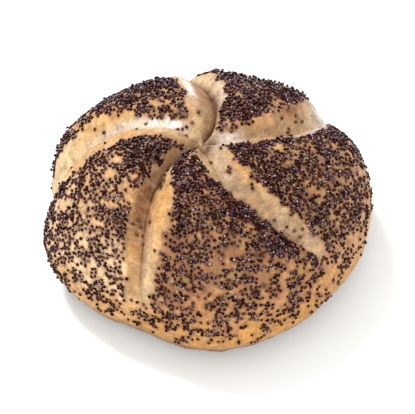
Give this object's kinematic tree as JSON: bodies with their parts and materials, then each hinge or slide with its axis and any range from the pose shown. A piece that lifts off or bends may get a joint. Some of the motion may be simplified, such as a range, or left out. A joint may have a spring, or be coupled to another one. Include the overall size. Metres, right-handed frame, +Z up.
{
  "type": "poppy seed kaiser roll",
  "caption": "Round domed bread roll with curved swirl grooves from the middle of the crown, a poppy seed crust on the lobes and a flat underside.",
  "frame": {"origin": "bottom centre of the bounding box, on the surface that the roll rests on", "axes": "+Z up through the crown, -Y towards the viewer of the picture, +X to the viewer's right"},
  "size_m": [0.0987, 0.0963, 0.0467],
  "materials": {
    "crust": "dry baked crust, golden brown with pale grooves, satin to matte"
  },
  "bodies": {
    "root": {"roll": "crust"}
  },
  "joints": []
}
